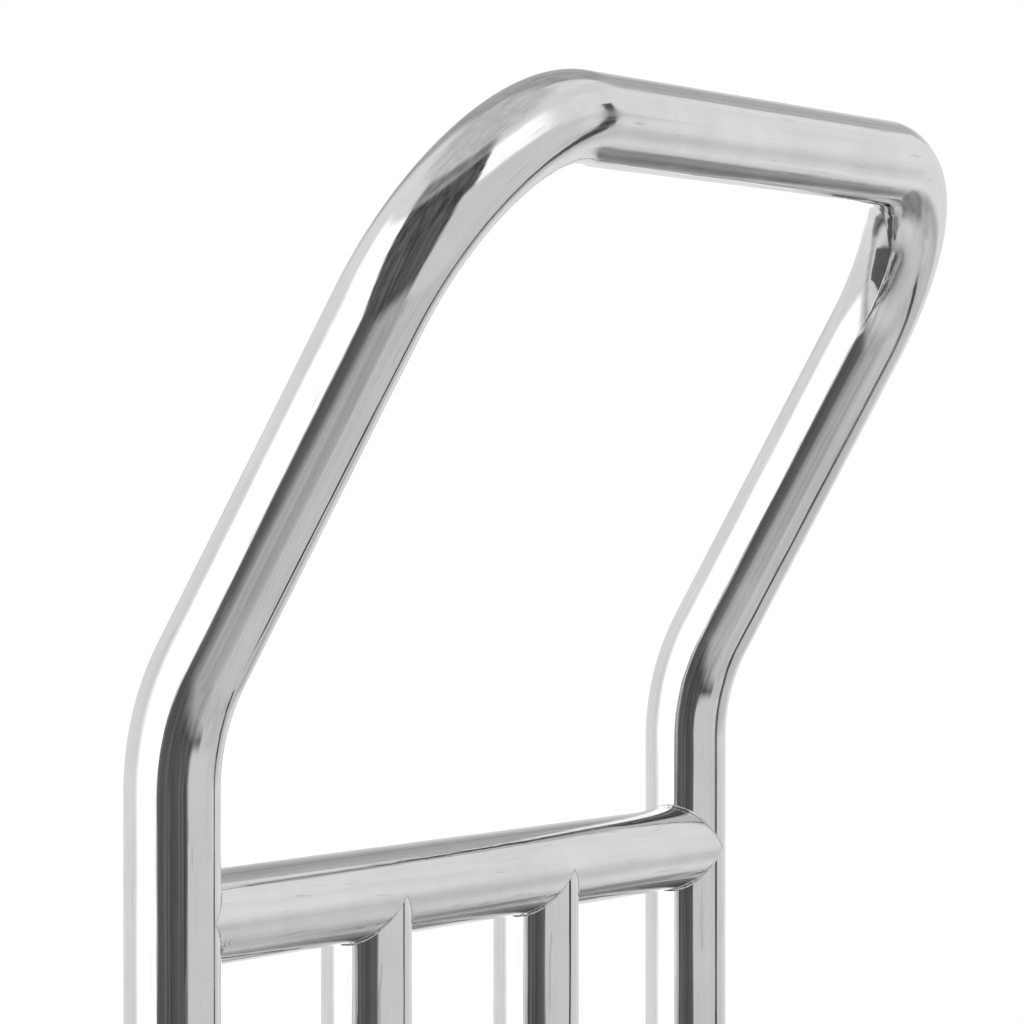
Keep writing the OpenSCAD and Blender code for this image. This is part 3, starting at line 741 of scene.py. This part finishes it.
welds = {
    "radius": 0.0012,
    "flushed": 0.2,
    "flushPower": 2.5,
    "ripple": 0.035,
    "ripples": 46,
    "rough": 0.18,
    "roughPace": 6,
    "steps": 220,
    "sides": 10,
    "blobAt": -0.45,
    "blobWide": 0.22,
    "blobSize": 1.3,
    "blobRough": 1.0,
    "blobPace": (22, 900),
}


def growWeld(bm, turnTo, reach, seed):
    # a bead round the end of one coped tube, thinner where the two tubes run flush
    ring = bmesh.ops.create_circle(bm, cap_ends=False, radius=1.0, segments=welds["sides"])["verts"]
    bmesh.ops.rotate(bm, verts=ring, cent=(0, 0, 0), matrix=Matrix.Rotation(math.pi / 2, 3, "X"))
    bmesh.ops.scale(bm, verts=ring, vec=(welds["radius"],) * 3)
    bmesh.ops.translate(bm, verts=ring, vec=(tubeRadius, 0, 0))
    edges = list({e for v in ring for e in v.link_edges})
    bmesh.ops.spin(bm, geom=ring + edges, cent=(0, 0, 0), axis=(0, 0, 1), angle=2 * math.pi,
                   steps=welds["steps"], use_merge=True)
    fresh = set(ring) | {v for v in bm.verts if not v.tag}
    aroundPace, acrossPace = welds["blobPace"]
    for v in fresh:
        v.tag = True
        angle = math.atan2(v.co.y, v.co.x)
        middle = Vector((math.cos(angle), math.sin(angle), 0)) * tubeRadius
        flush = abs(math.cos(angle)) ** welds["flushPower"]
        size = 1 - (1 - welds["flushed"]) * flush
        size *= 1 + welds["ripple"] * math.sin(angle * welds["ripples"])
        size *= 1 + welds["rough"] * noise.noise(Vector((angle * welds["roughPace"], seed, 0)))
        if seed == -1:  # the bead at the right upright has a lump at the front
            blob = math.exp(-((angle - welds["blobAt"]) / welds["blobWide"]) ** 2)
            grain = welds["blobRough"] * noise.noise(Vector((angle * aroundPace, v.co.z * acrossPace, 3)))
            size *= 1 + blob * (welds["blobSize"] + grain)
        v.co = middle + (v.co - middle) * size
        v.co.z += reach - copeDepth(middle.x)
        v.co = turnTo @ v.co


# weld spatter that was not ground off, low on the front of the rail beside the right upright
spatter = {
    "drops": 30,
    "angle": -0.47,
    "spreadAngle": 0.10,
    "start": 0.0028,
    "run": 0.015,
    "crowding": 1.6,
    "size": (0.0006, 0.0015),
    "narrowing": 0.5,
    "shrinking": 0.45,
    "flat": 0.8,
    "drawnOut": (0.9, 1.7),
    "seed": 11,
}


def growSpatter(bm):
    pick = random.Random(spatter["seed"])
    for _ in range(spatter["drops"]):
        away = pick.random() ** spatter["crowding"]
        narrow = 1 - spatter["narrowing"] * away
        angle = spatter["angle"] + spatter["spreadAngle"] * narrow * pick.uniform(-1, 1)
        size = pick.uniform(*spatter["size"]) * (1 - spatter["shrinking"] * away)
        place = Vector((uprightX + tubeRadius * math.cos(angle),
                        -halfSpan + spatter["start"] + spatter["run"] * away,
                        railZ + tubeRadius * math.sin(angle)))
        squash = Matrix.Diagonal((spatter["flat"], pick.uniform(*spatter["drawnOut"]), spatter["flat"], 1))
        bmesh.ops.create_icosphere(bm, subdivisions=2, radius=size,
                                   matrix=Matrix.Translation(place) @ squash)


def makeWelds():
    bm = bmesh.new()
    for side in (-1, 1):
        # z of the bead's own frame points from the rail's middle to the upright
        out = Matrix.Translation((uprightX, 0, railZ)) @ Matrix.Rotation(-side * math.pi / 2, 4, "X")
        growWeld(bm, out, halfSpan, side)
        up = Matrix.Translation((uprightX, side * barY, footZ))
        growWeld(bm, up, railZ - footZ, 5 + side)
    growSpatter(bm)
    finishPiece("weldBeads", bm, weldSteel, "root")


collar = {"gap": 0.0002, "lip": 0.0012, "rings": 12, "steps": 72}


def makeTubeCollars():
    outer, top = collarHigh.x - uprightX, collarHigh.z - collarLow.z
    lip, rings = collar["lip"], collar["rings"]
    inner = tubeRadius + collar["gap"]
    section = [(inner, 0, 0)] + [
        (inner + (outer - inner) * math.sin(t), 0, lip + (top - lip) * math.cos(t))
        for t in [math.pi / 2 * i / rings for i in range(rings + 1)]] + [(outer, 0, 0)]
    bm = bmesh.new()
    for y in (-halfSpan, -barY, barY, halfSpan):
        edges = closedWire(bm, section)
        verts = list({v for e in edges for v in e.verts})
        bmesh.ops.spin(bm, geom=verts + edges, cent=(0, 0, 0), axis=(0, 0, 1), angle=2 * math.pi,
                       steps=collar["steps"], use_merge=True)
        fresh = [v for v in bm.verts if not v.tag]
        bmesh.ops.translate(bm, verts=fresh, vec=(uprightX, y, collarLow.z))
        for v in fresh:
            v.tag = True
    bmesh.ops.remove_doubles(bm, verts=bm.verts, dist=mergeGap)
    finishPiece("tubeCollars", bm, polishedSteel, "root", ["tube_collars"], smoothAngle=40)


makeHandleTube()
makeUpperRail()
makeInnerBars()
makeWelds()
makeTubeCollars()
print("handle: tube, rail, bars, welds and collars")


# deck

deck = {
    "rimSheet": 0.002,
    "rimRadius": 0.060,
    "lip": 0.012,
    "flange": 0.025,
    "foldRadius": 0.0035,
    "edgeRound": 0.0004,
    "cornerSteps": 16,
    "bumperLap": 0.01,
    "bumperNose": 0.006,
    "bumperGroove": 0.0016,
    "groovePitch": 0.006,
    "bumperChamfer": 0.0008,
    "carpetCorner": 0.0475,
    "carpetSteps": 14,
    "carpetRound": 0.0022,
    "roundSteps": 4,
    "tapeWidth": 0.010,
    "tapeThick": 0.0008,
    "tapeCorner": 0.012,
    "tapeSteps": 6,
    "tapeHem": 0.001,
    "tapeSink": 0.0006,
}


def arc(centre, radius, start, end, steps=5):
    # points of an arc in the xz plane, angles in degrees from +x to +z
    return [(centre[0] + radius * math.cos(math.radians(start + (end - start) * i / steps)), 0,
             centre[1] + radius * math.sin(math.radians(start + (end - start) * i / steps)))
            for i in range(steps + 1)]


def moveTo(points, x, y, z):
    return [(px + x, py + y, pz + z) for px, py, pz in points]


def makeDeckRim():
    low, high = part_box("deck_rim")
    tall, fold = high.z - low.z, deck["foldRadius"]
    section = ([(-deck["lip"], 0, tall)] + arc((-fold, tall - fold), fold, 90, 0)
               + arc((-fold, fold), fold, 0, -90) + [(-deck["flange"], 0, 0)])
    bm = bmesh.new()
    start = moveTo(section, high.x, low.y + deck["rimRadius"], low.z)
    sweepRound(bm, wire(bm, start), low, high, deck["rimRadius"], deck["rimRadius"], deck["cornerSteps"])
    piece = finishPiece("deckRim", bm, rimSteel, "root", ["deck_rim"],
                        wall=deck["rimSheet"])
    roundEdges(piece, deck["edgeRound"], angle=60)


def makeBumper():
    low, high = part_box("bumper")
    rimLow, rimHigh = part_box("deck_rim")
    back = rimHigh.x + (high.x - rimHigh.x) * deck["bumperLap"]
    thick, tall, nose = high.x - back, high.z - low.z, deck["bumperNose"]
    groove, pitch, chamfer = deck["bumperGroove"], deck["groovePitch"], deck["bumperChamfer"]
    deep, flat = groove * 0.5, groove * 0.45
    face = arc((thick - nose, nose), nose, -90, 0, 6)
    for middle in (tall / 2 - pitch, tall / 2, tall / 2 + pitch):
        face += [(thick, 0, middle - groove), (thick - deep, 0, middle - flat),
                 (thick - deep, 0, middle + flat), (thick, 0, middle + groove)]
    face += arc((thick - nose, tall - nose), nose, 0, 90, 6)
    section = [(0, 0, chamfer), (chamfer, 0, 0)] + face + [(chamfer, 0, tall), (0, 0, tall - chamfer)]
    bm = bmesh.new()
    radius = deck["rimRadius"] + back - rimHigh.x
    start = moveTo(section, back, rimLow.y - (back - rimHigh.x) + radius, low.z)
    reach = Vector((back - rimHigh.x, back - rimHigh.x, 0))
    edges = closedWire(bm, start)
    sweepRound(bm, edges, rimLow - reach, rimHigh + reach, radius, radius, deck["cornerSteps"])
    finishPiece("bumper", bm, bumperRubber, "root", ["bumper"], smoothAngle=28)


def makeCarpetPieces():
    low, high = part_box("deck_carpet")
    thick = high.z - low.z
    bm = bmesh.new()
    corners = [bm.verts.new((x, y, low.z)) for x, y in
               ((low.x, low.y), (high.x, low.y), (high.x, high.y), (low.x, high.y))]
    bm.faces.new(corners)
    made = bmesh.ops.extrude_face_region(bm, geom=bm.faces[:])["geom"]
    raised = [g for g in made if isinstance(g, bmesh.types.BMVert)]
    bmesh.ops.translate(bm, verts=raised, vec=(0, 0, thick))
    upright = [e for e in bm.edges if abs(e.verts[0].co.z - e.verts[1].co.z) > thick / 2]
    front = [e for e in upright if e.verts[0].co.x < 0]
    rear = [e for e in upright if e.verts[0].co.x > 0]
    bmesh.ops.bevel(bm, geom=front, offset=deck["carpetCorner"], segments=deck["carpetSteps"], profile=0.5,
                    affect="EDGES", material=-1)
    bmesh.ops.bevel(bm, geom=rear, offset=deck["tapeCorner"], segments=deck["tapeSteps"], profile=0.5,
                    affect="EDGES", material=-1)
    topEdges = [e for e in bm.edges if all(v.co.z > high.z - thick * 0.01 for v in e.verts)]
    rimEdges = [e for e in topEdges if len(e.link_faces) == 2 and e.calc_face_angle() > 1]
    bmesh.ops.bevel(bm, geom=rimEdges, offset=deck["carpetRound"], segments=deck["roundSteps"], profile=0.5,
                    affect="EDGES", material=-1)
    carpet = finishPiece("deckCarpet", bm, carpetPile, "root", ["deck_carpet"])

    # the tape folds over the carpet's edge, and is hemmed on top
    lift, width, fold, hem = deck["tapeThick"], deck["tapeWidth"], deck["carpetRound"], deck["tapeHem"]
    out, foot = lift * 0.4, thick * 0.35
    section = ([(out, 0, foot)] + arc((out - fold, thick + lift - fold), fold, 0, 90)
               + arc((-width + hem, thick + lift - hem), hem, 90, 180, 3)
               + [(-width, 0, thick - deck["tapeSink"])])
    bm = bmesh.new()
    start = moveTo(section, high.x, low.y + deck["tapeCorner"], low.z)
    sweepRound(bm, wire(bm, start), low, high, deck["carpetCorner"], deck["tapeCorner"], deck["carpetSteps"])
    tape = finishPiece("carpetTape", bm, carpetTape, "root")


makeDeckRim()
makeBumper()
makeCarpetPieces()
print("deck: rim, bumper, carpet and its tape")


# tyres

tyre = {
    "boreGap": 0.00005,
    "boreRound": 0.0015,
    "ledge": 0.0009,
    "ledgeReach": (0.004, 0.0048),
    "shoulder": 0.007,
    "crown": 0.0006,
    "groove": 0.0011,
    "grooveWide": 0.0022,
    "grooveAt": 0.0085,
    "grooveLip": 0.0002,
    "seam": 0.00025,
    "seamWide": (0.0006, 0.0003),
    "steps": 96,
}


def makeTyre(corner):
    low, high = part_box(f"{corner}_tyre")
    hubLow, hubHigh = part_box(f"{corner}_hub")
    centre = (low + high) / 2
    outer, half = (high.z - low.z) / 2, (high.y - low.y) / 2
    bore = (hubHigh.z - hubLow.z) / 2 + tyre["boreGap"]
    eased, ledge, shoulder = tyre["boreRound"], tyre["ledge"], tyre["shoulder"]
    ledgeInner, ledgeOuter = tyre["ledgeReach"]
    crown = outer - tyre["crown"]
    at, wide, deep, lip = tyre["grooveAt"], tyre["grooveWide"] / 2, tyre["groove"], tyre["grooveLip"]
    seamFoot, seamTop = tyre["seamWide"]
    # half section from the bore up the side to the middle of the tread: x is the radius, z is along the axle
    side = [(bore, 0, half - eased), (bore + eased, 0, half - ledge), (bore + ledgeInner, 0, half - ledge),
            (bore + ledgeOuter, 0, half)]
    tread = arc((crown - shoulder, half - shoulder), shoulder, 90, 0, 8)
    groove = [(crown + lip, 0, at + wide), (crown - deep, 0, at + wide * 0.5),
              (crown - deep, 0, at - wide * 0.5), (crown + lip, 0, at - wide)]
    middle = [(outer - tyre["seam"], 0, seamFoot), (outer, 0, seamTop)]
    halfSection = side + tread + groove + middle
    section = halfSection + [(x, y, -z) for x, y, z in reversed(halfSection)]
    bm = bmesh.new()
    closedWire(bm, section)
    bmesh.ops.spin(bm, geom=bm.verts[:] + bm.edges[:], cent=(0, 0, 0), axis=(0, 0, 1), angle=2 * math.pi,
                   steps=tyre["steps"], use_merge=True)
    bmesh.ops.remove_doubles(bm, verts=bm.verts, dist=mergeGap)
    stand = Matrix.Translation(centre) @ Matrix.Rotation(math.pi / 2, 4, "X")
    bmesh.ops.transform(bm, matrix=stand, space=Matrix(), verts=bm.verts)
    finishPiece(f"{corner}_tyreTread", bm, tyreRubber, f"{corner}_wheel",
                [f"{corner}_tyre"], smoothAngle=32)


for corner in ("rear_left", "rear_right", "front_left", "front_right"):
    makeTyre(corner)
print("tyres")


# the pressed, turned and moulded parts, as in the frame but with their edges rounded

softening = {"mergeGap": 2e-6, "flatAngle": 1.0}


def softenEdges(node, material, body, width):
    bm = bmesh.new()
    bm.from_mesh(frame["nodes"][node].data)
    bmesh.ops.remove_doubles(bm, verts=bm.verts, dist=softening["mergeGap"])
    bmesh.ops.dissolve_limit(bm, angle_limit=math.radians(softening["flatAngle"]), verts=bm.verts,
                             edges=bm.edges, use_dissolve_boundaries=False, delimit=set())
    first, *rest = node.split("_")
    name = first + "".join(word.capitalize() for word in rest) + "Soft"
    piece = finishPiece(name, bm, material, body, [node], recalc=False)
    roundEdges(piece, width)


def finishNode(node, material):
    # a frame part that keeps its own mesh
    for slot in frame["nodes"][node].material_slots:
        slot.link = "OBJECT"
        slot.material = material


rounded = {
    "sill_plate": (sillSteel, "polished_steel", 0.0008),
    "handle_bolts": (zincPlate, "zinc", 0.0005),
    "handle_washers": (zincPlate, "zinc", 0.0003),
    "beam_left": (framePaint, "frame_paint", 0.0015),
    "beam_right": (framePaint, "frame_paint", 0.0015),
    "handle_beam": (framePaint, "frame_paint", 0.0015),
    "cross_beams": (framePaint, "frame_paint", 0.0015),
    "outriggers": (framePaint, "frame_paint", 0.0015),
    "castor_pads": (framePaint, "frame_paint", 0.0005),
    "deck_panel": (plywood, "plywood", 0.0005),
    "castor_bolts": (zincPlate, "zinc", 0.0004),
    "castor_nuts": (zincPlate, "zinc", 0.0004),
    "front_axles": (zincPlate, "zinc", 0.0005),
    "front_axle_nuts": (zincPlate, "zinc", 0.0005),
}
for side in ("left", "right"):
    rounded |= {
        f"rear_{side}_plate": (zincPlate, "zinc", 0.0005),
        f"rear_{side}_kingpin": (zincPlate, "zinc", 0.0005),
        f"rear_{side}_kingpin_nut": (zincPlate, "zinc", 0.0005),
        f"rear_{side}_fork": (zincPlate, "zinc", 0.0005),
        f"rear_{side}_axle": (zincPlate, "zinc", 0.0005),
        f"rear_{side}_axle_nut": (zincPlate, "zinc", 0.0005),
        f"rear_{side}_brake_pin": (zincPlate, "zinc", 0.0004),
        f"rear_{side}_brake_spring": (bearingSteel, "bearing_steel", 0.0002),
        f"rear_{side}_brake_pedal": (zincPlate, "zinc", 0.0004),
        f"rear_{side}_hub": (wheelCore, "wheel_core", 0.0007),
        f"front_{side}_hub": (wheelCore, "wheel_core", 0.0007),
        f"front_{side}_bracket": (zincPlate, "zinc", 0.0005),
    }
bodies = frame["record"]["behaviour"]["bodies"]
bodyOf = {node: body for body, nodes in bodies.items() for node in nodes}
for node, (material, slot, width) in rounded.items():
    softenEdges(node, material, bodyOf.get(node, "root"), width)
print("rounded parts:", len(rounded))

kept = {"tube_plugs": zincPlate, "deck_screws": zincPlate, "front_sleeves": bearingSteel}
for side in ("left", "right"):
    kept |= {f"rear_{side}_balls": bearingSteel, f"rear_{side}_sleeve": bearingSteel}
    kept |= {f"rear_{side}_bearings": bearingSteel, f"front_{side}_bearings": bearingSteel}
for node, material in kept.items():
    finishNode(node, material)
print("frame parts kept as they are:", len(kept))
